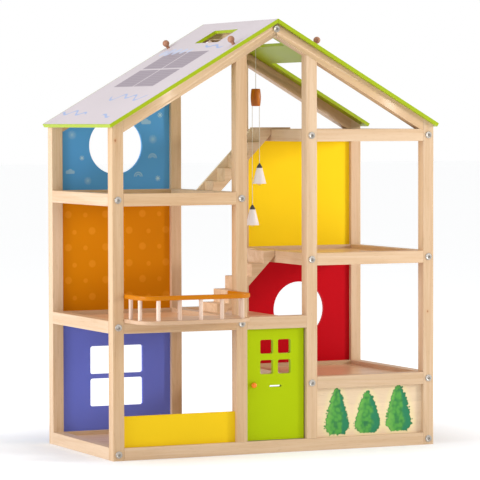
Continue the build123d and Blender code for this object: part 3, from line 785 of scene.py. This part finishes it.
pale_floor, tree, shader = new_material("pale_floor")
here = object_place(tree)
floor_colour = tint(tree, noise(tree, here, 3, 2), srgb(244, 247, 250), srgb(240, 243, 247))
fill(tree, shader.inputs["Base Color"], floor_colour)
shader.inputs["Roughness"].default_value = 0.7
aside = vector_calc(tree, "ABSOLUTE", vector_calc(tree, "SUBTRACT", here, (0, MIDDLE_Y, 0)))
aside = vector_calc(tree, "MAXIMUM", vector_calc(tree, "SUBTRACT", aside, HOUSE_HALF), (0, 0, 0))
glow = ramp(tree, vector_length(tree, aside), 0.0, FADE, GLOW_NEAR, GLOW_FAR)
fill(tree, shader.inputs["Emission Strength"], glow)
shader.inputs["Emission Color"].default_value = (1, 1, 1, 1)
floor.data.materials.append(pale_floor)
print("materials:", len(bpy.data.materials))

# %% [markdown]
# ## Dressing the measured pieces
# Posts, beams, rails, floors and wall boards already have their true shape in the measured
# model, with their edges eased, so they stay and only take a finish.

# %% Finishes on the measured pieces
def dress(piece, material):
    piece.data.materials.clear()
    piece.data.materials.append(material)


FINISH = {
    "attic_wall_blue": blue_board, "upper_wall_orange": orange_board,
    "lower_wall_purple": purple_board, "upper_wall_yellow": yellow_board,
    "lower_wall_red": red_board, "front_wall_trees": shrub_board,
    "ground_floor": plywood, "raised_floors": plywood,
    "side_rails": rail_wood, "ridge_beam": rail_wood,
    "door_pins": wire_steel, "ceiling_eye": wire_steel, "hanging_ring": wire_steel,
    "balcony_balusters": dowel_wood, "front_left_outer_post": honey_post_wood_painted_shade,
    "front_left_inner_post": honey_post_wood_painted_shade, "front_attic_beam_left": honey_beam_wood_painted_shade,
    "front_storey_beam_left": honey_beam_wood_painted_shade,
}
for name, piece in frame["nodes"].items():
    if name in FINISH:
        dress(piece, FINISH[name])
    elif name.endswith("_post"):
        dress(piece, post_wood)
    elif "beam" in name or name.endswith("_sill"):
        dress(piece, beam_wood)
print("dressed", len(frame["nodes"]), "measured pieces")

# %% [markdown]
# ## Rounding the cut pieces
# Sheets, stairs, rafters and the door leaf come out of the measured model with knife-sharp
# edges, which no sanded toy has. A copy of each mesh is merged, its flat faces are dissolved
# into whole ones, and the bevel operator rounds its sharp edges. Weighted normals then keep
# the broad faces flat while the small rounding shades smoothly.

# %% Soften helper
SHARP = math.radians(38)


def show(mesh, name, body, material, stands_for=()):
    """Link a finished mesh, give it its finish and tie it to its body."""
    piece = bpy.data.objects.new(name, mesh)
    bpy.context.scene.collection.objects.link(piece)
    dress(piece, material)
    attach(piece, body)
    if stands_for:
        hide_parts(*stands_for)
    return piece


def body_of(node):
    return frame["nodes"][node]["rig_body"]


def softened(node, material, width=0.0007, steps=3):
    source = frame["nodes"][node]
    bm = bmesh.new()
    bm.from_mesh(source.data)
    bmesh.ops.remove_doubles(bm, verts=bm.verts, dist=1e-6)
    bmesh.ops.dissolve_limit(bm, angle_limit=math.radians(0.5), verts=bm.verts, edges=bm.edges,
                             use_dissolve_boundaries=False)
    sharp = [e for e in bm.edges if len(e.link_faces) == 2 and e.calc_face_angle() > SHARP]
    bmesh.ops.bevel(bm, geom=sharp, offset=width, offset_type="OFFSET", affect="EDGES",
                    segments=steps, profile=0.5, clamp_overlap=True, material=-1)
    for face in bm.faces:
        face.smooth = True
    mesh = bpy.data.meshes.new("soft_" + node)
    bm.to_mesh(mesh)
    bm.free()
    mesh.set_sharp_from_angle(angle=SHARP)
    piece = show(mesh, "soft_" + node, body_of(node), material, [node])
    weighted = piece.modifiers.new("flat_faces", "WEIGHTED_NORMAL")
    weighted.keep_sharp = True
    print(piece.name, "edges rounded", len(sharp), "faces", len(mesh.polygons))


# %% Soften the cut pieces
SOFT_PIECES = {
    "roof_sheet_left": (roof_print, 0.0008), "roof_sheet_right": (roof_print, 0.0008),
    "door_leaf": (door_green, 0.0007), "low_front_wall_yellow": (low_yellow_board, 0.0008),
    "lower_stair": (stair_wood, 0.0009), "upper_stair_steps": (stair_wood, 0.0009),
    "upper_stair_string": (string_wood_painted_light, 0.0007), "upper_stair_plate": (stair_wood, 0.0006),
    "balcony_deck": (deck_wood, 0.0012), "balcony_handrail": (rail_orange, 0.0016),
    "front_rafters": (rafter_wood, 0.0008), "back_rafters": (rafter_wood, 0.0008),
}
for node, (material, width) in SOFT_PIECES.items():
    softened(node, material, width)

# %% [markdown]
# ## Turned pieces
# A lathe shape is a profile spun round its axis. The helper turns a list of radius and
# height pairs into one edge chain, spins it a full turn, welds the seam and the poles and
# turns the faces outwards.

# %% Lathe helper
def edge_chain(points):
    """A bmesh that holds one chain of edges, from point to point."""
    bm = bmesh.new()
    chain = [bm.verts.new(point) for point in points]
    for start, end in zip(chain, chain[1:]):
        bm.edges.new((start, end))
    return bm


def spin_round(bm, axis, steps, weld=1e-7):
    bmesh.ops.spin(bm, geom=bm.verts[:] + bm.edges[:], cent=(0, 0, 0), axis=axis,
                   angle=math.tau, steps=steps, use_merge=True)
    bmesh.ops.remove_doubles(bm, verts=bm.verts, dist=weld)


def turned(profile, steps=40):
    bm = edge_chain([(radius, 0, height) for radius, height in profile])
    spin_round(bm, (0, 0, 1), steps, 1e-6)
    bmesh.ops.recalc_face_normals(bm, faces=bm.faces)
    return bm


def arc(radius, middle_z, start, end, steps=12):
    """Points of a ball's outline, from one angle above the horizontal to another."""
    angles = [math.radians(start + (end - start) * k / steps) for k in range(steps + 1)]
    return [(max(0.0, radius * math.cos(a)), middle_z + radius * math.sin(a)) for a in angles]


def to_mesh(bm, name, sharp_angle=45):
    for face in bm.faces:
        face.smooth = True
    mesh = bpy.data.meshes.new(name)
    bm.to_mesh(mesh)
    bm.free()
    mesh.set_sharp_from_angle(angle=math.radians(sharp_angle))
    return mesh


def show_turned(bm, node, place, material, sharp_angle=45):
    """Put a turned piece where the measured one is, and let it stand for that one."""
    bmesh.ops.transform(bm, matrix=place, verts=bm.verts)
    name = "turned_" + node
    show(to_mesh(bm, name, sharp_angle), name, body_of(node), material, [node])


print("lathe ready")

# %% [markdown]
# ## Lamps, bead and cords
# Two lamps hang from a stained bead under the ridge. Cap, shade and bulb are turned, and the
# shade carries the fine rings that the turning tool leaves.

# %% Lamps
LAMP_Y = -0.0285
LAMP_TOPS = {"short": (0.0067, 0.490), "long": (-0.0067, 0.419)}


def shade_profile(top, rings=9):
    """A cone with shallow turned rings, a rounded rim and a hollow mouth round the bulb."""
    high, low = top - 0.008, top - 0.035
    points = [(0, high), (0.0047, high), (0.0052, high - 0.0005)]
    for k in range(rings):
        for part, cut in ((0.25, 0.0), (0.5, 0.00022), (0.75, 0.0)):
            t = (k + part) / rings
            points.append((0.0052 + 0.0062 * t - cut, high - 0.0005 - 0.0255 * t))
    points += [(0.0117, low + 0.0006), (0.0115, low + 0.0001), (0.0110, low),
               (0.0060, low + 0.0004), (0, low + 0.0008)]
    return points


def cap_profile(top):
    """A small bell that the cord enters, over the shade."""
    bell = [(0, 0), (0.0010, 0), (0.0014, 0.0004), (0.0024, 0.0022), (0.0040, 0.0048),
            (0.0047, 0.0066), (0.0048, 0.0076), (0.0045, 0.0080), (0, 0.0080)]
    return [(radius, top - drop) for radius, drop in bell]


BULB_RADIUS, BULB_DROP = 0.0046, 0.0334
for name, (x, top) in LAMP_TOPS.items():
    parts = {"cap": (cap_profile(top), cap_grey), "shade": (shade_profile(top), shade_white),
             "bulb": (arc(BULB_RADIUS, top - BULB_DROP, 90, -90, 20), bulb_yellow)}
    for part, (profile, material) in parts.items():
        place = Matrix.Translation((x, LAMP_Y, 0))
        show_turned(turned(profile), name + "_lamp_" + part, place, material, 60)
    print(name, "lamp hangs with its cap at", top, "m")

# %% Bead
BEAD_LOW, BEAD_HIGH = 0.588, 0.618
BEAD_RADIUS, BEAD_SWELL, BEAD_ROUND = 0.0076, 0.0013, 0.0008

bead_points = [(0, BEAD_LOW), (0.0012, BEAD_LOW), (0.0068, BEAD_LOW + 0.0002)]
for k in range(13):
    swell = BEAD_SWELL * math.sin(math.pi * k / 12)
    rise = (BEAD_HIGH - BEAD_LOW - 2 * BEAD_ROUND) * k / 12
    bead_points.append((BEAD_RADIUS + swell, BEAD_LOW + BEAD_ROUND + rise))
bead_points += [(0.0068, BEAD_HIGH - 0.0002), (0.0012, BEAD_HIGH), (0, BEAD_HIGH)]
bm = turned(bead_points)
bmesh.ops.transform(bm, matrix=Matrix.Translation((0, LAMP_Y, 0)), verts=bm.verts)
bead_mesh = to_mesh(bm, "turned_bead", 60)
bead = show(bead_mesh, "turned_bead", "pendant", bead_stain, ["cord_bead"])
print("bead from", BEAD_LOW, "to", BEAD_HIGH, "m")

# %% [markdown]
# The cord is tied through the ring in a small loop. Here that is only a flat ring: a circle
# as wide as the cord is spun in its own plane, so it has no thickness. A circle that faced
# along its path would make a round cord.

# %% Cord loop
LOOP_Z, LOOP_RADIUS, CORD_RADIUS = 0.69473, 0.0017, 0.0005
bm = bmesh.new()
start = bmesh.ops.create_circle(bm, segments=12, radius=CORD_RADIUS)["verts"]
beside = Matrix.Translation((LOOP_RADIUS, 0, 0)) @ Matrix.Rotation(math.pi / 2, 4, "X")
bmesh.ops.transform(bm, matrix=beside, verts=start)
spin_round(bm, (0, 1, 0), 28)
bmesh.ops.recalc_face_normals(bm, faces=bm.faces)
bmesh.ops.transform(bm, matrix=Matrix.Translation((0, LAMP_Y, LOOP_Z)), verts=bm.verts)
loop = show(to_mesh(bm, "cord_loop", 80), "cord_loop", "pendant", twine)
print("loop at", LOOP_Z, "m")


# %% Cords
def cord(name, body, x, low, high, node, hung):
    """A straight NURBS cord under load, from its exit at the top down to what it carries."""
    curve = bpy.data.curves.new(name, "CURVE")
    curve.dimensions = "3D"
    curve.bevel_depth = CORD_RADIUS
    curve.bevel_resolution = 4
    curve.use_fill_caps = True
    line = curve.splines.new("NURBS")
    line.points.add(3)
    for point, share in zip(line.points, (0, 1 / 3, 2 / 3, 1)):
        point.co = (x, LAMP_Y, high + (low - high) * share, 1)
    line.order_u = 3
    line.use_endpoint_u = True
    piece = bpy.data.objects.new(name, curve)
    bpy.context.scene.collection.objects.link(piece)
    curve.materials.append(twine)
    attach(piece, body)
    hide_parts(node)
    print(name, "length", round(high - low, 4), "m")


PENDANT_ENDS = BEAD_HIGH - 0.0002, LOOP_Z - LOOP_RADIUS
cord("pendant_cord", "pendant", 0, *PENDANT_ENDS, "lamp_cord", [loop, bead])
for name, (x, top) in LAMP_TOPS.items():
    hung = ["turned_" + name + "_lamp_" + part for part in ("cap", "shade", "bulb")]
    cord(name + "_lamp_cord", name + "_lamp", x, top, BEAD_LOW, name + "_strand", hung)

# %% [markdown]
# ## Roof pegs and door knob
# Four ball-headed pegs pin the roof sheets down. A peg is turned upright and then leaned
# over with the roof. The door's knob is the same kind of ball on a short neck.

# %% Pegs
PEG_DOWN, PEG_BALL_OUT, PEG_BALL = 0.087, 0.0096, 0.006
PEG_ROWS = {"front": -0.1035, "back": 0.1765}
peg_profile = arc(PEG_BALL, PEG_BALL_OUT, 90, -58, 20)
peg_profile += [(0.00295, 0.0041), (0.00295, -0.0192), (0.0023, -0.02), (0, -0.02)]
for side, side_name in ((-1, "left"), (1, "right")):
    lean = Matrix.Rotation(side * ROOF_ANGLE, 4, "Y")
    for row, y in PEG_ROWS.items():
        foot = (side * PEG_DOWN * COS_ROOF, y, RIDGE - PEG_DOWN * SIN_ROOF)
        node = "roof_peg_" + side_name + "_" + row
        show_turned(turned(peg_profile, 32), node, Matrix.Translation(foot) @ lean, peg_wood)
print("four pegs turned")

# %% Knob
KNOB_BALL = 0.0047
low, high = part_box("door_knob")
knob_middle = Vector(((low.x + high.x) / 2, low.y + KNOB_BALL, (low.z + high.z) / 2))
neck = high.y - knob_middle.y
knob_profile = arc(KNOB_BALL, 0, 90, -58, 18) + [(0.0022, -0.0043), (0.0026, -neck), (0, -neck)]
bm = turned(knob_profile, 32)
facing_out = Matrix.Translation(knob_middle) @ Matrix.Rotation(math.pi / 2, 4, "X")
bmesh.ops.transform(bm, matrix=facing_out, verts=bm.verts)
show(to_mesh(bm, "turned_knob"), "turned_knob", "door", knob_orange, ["door_knob"])
print("knob at", [round(v, 4) for v in knob_middle])

# %% [markdown]
# ## Bolts
# Each joint is drawn up by a plated bolt with a hexagon socket. The head is a spun dish; its
# inner rim is bridged to a six-sided ring, which is then pushed in to make the socket. The
# socket and the ring of the dish round it are painted in shade: their faces take a second,
# darker steel.

# %% One bolt head
BOLT_RADIUS, HEAD_THICK = 0.006, 0.0015
SOCKET, SOCKET_DEEP, SOCKET_LIP = 0.0027, 0.0021, 0.0004
DISH, DISH_DEPTH = 0.0034, -0.00095
# the ring of the dish between these radii is painted in shade with the darker steel, as is the
# socket
GROOVE = (0.0036, 0.0046)


def from_axis(point):
    return math.hypot(point.x, point.z)


def bolt_head():
    """A head that faces -Y with its seat at y = 0."""
    rim = [(BOLT_RADIUS - 0.0002, 0), (BOLT_RADIUS, -0.0003), (BOLT_RADIUS, -0.0011),
           (BOLT_RADIUS - 0.0004, -HEAD_THICK), (0.0047, -HEAD_THICK), (0.0043, -0.0012),
           (DISH, DISH_DEPTH)]
    bm = edge_chain([(radius, y, 0) for radius, y in rim])
    spin_round(bm, (0, 1, 0), 24)
    inner = [e for e in bm.edges if e.is_boundary and from_axis(e.verts[0].co) < GROOVE[1]]
    hexagon = bmesh.ops.create_circle(bm, segments=6, radius=SOCKET)["verts"]
    turn = Matrix.Translation((0, DISH_DEPTH, 0)) @ Matrix.Rotation(math.pi / 2, 4, "X")
    bmesh.ops.transform(bm, matrix=turn, verts=hexagon)
    sides = list({e for v in hexagon for e in v.link_edges})
    bmesh.ops.subdivide_edges(bm, edges=sides, cuts=3)
    ring = [e for e in bm.edges if e.is_wire]
    bmesh.ops.bridge_loops(bm, edges=inner + ring)
    pushed = bmesh.ops.extrude_edge_only(bm, edges=ring)["geom"]
    deep = [v for v in pushed if isinstance(v, bmesh.types.BMVert)]
    bmesh.ops.translate(bm, vec=(0, SOCKET_DEEP, 0), verts=deep)
    last_ring = [e for e in pushed if isinstance(e, bmesh.types.BMEdge) and e.is_boundary]
    bmesh.ops.contextual_create(bm, geom=last_ring)
    bmesh.ops.recalc_face_normals(bm, faces=bm.faces)
    # the socket and the dish ring take material 1, the darker steel: painted shade
    for face in bm.faces:
        out = from_axis(face.calc_center_median())
        face.material_index = int(out < SOCKET + SOCKET_LIP or GROOVE[0] < out < GROOVE[1])
    return bm


bolt_mesh = to_mesh(bolt_head(), "bolt_head", 35)
print("bolt head:", len(bolt_mesh.polygons), "faces")

# %% Bolts in the frame
STOREY = 0.1055
BEAM_MIDDLE = 0.0105
BOLT_COLUMNS = {-0.290: (0, 2, 4), -0.0655: (2, 4), 0.0655: (1, 3, 5), 0.290: (0, 1, 3, 5)}
RIDGE_BOLT = (0, 0.718)
bolt_places = [(x, step * STOREY + BEAM_MIDDLE)
               for x, steps in BOLT_COLUMNS.items() for step in steps] + [RIDGE_BOLT]
bolt_low, bolt_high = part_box("bolts")
bm = bmesh.new()
for facing, seat in ((0, bolt_low.y + HEAD_THICK), (math.pi, bolt_high.y - HEAD_THICK)):
    for count, (x, z) in enumerate(bolt_places):
        known = set(bm.verts)
        bm.from_mesh(bolt_mesh)
        turn = Matrix.Rotation(facing, 4, "Z") @ Matrix.Rotation(math.radians(37 * count), 4, "Y")
        new = [v for v in bm.verts if v not in known]
        bmesh.ops.transform(bm, matrix=Matrix.Translation((x, seat, z)) @ turn, verts=new)
heads_mesh = to_mesh(bm, "bolt_heads", 35)
bolt_heads = show(heads_mesh, "bolt_heads", "house", bolt_steel, ["bolts"])
bolt_heads.data.materials.append(socket_steel_painted_shade)
print(2 * len(bolt_places), "bolts")
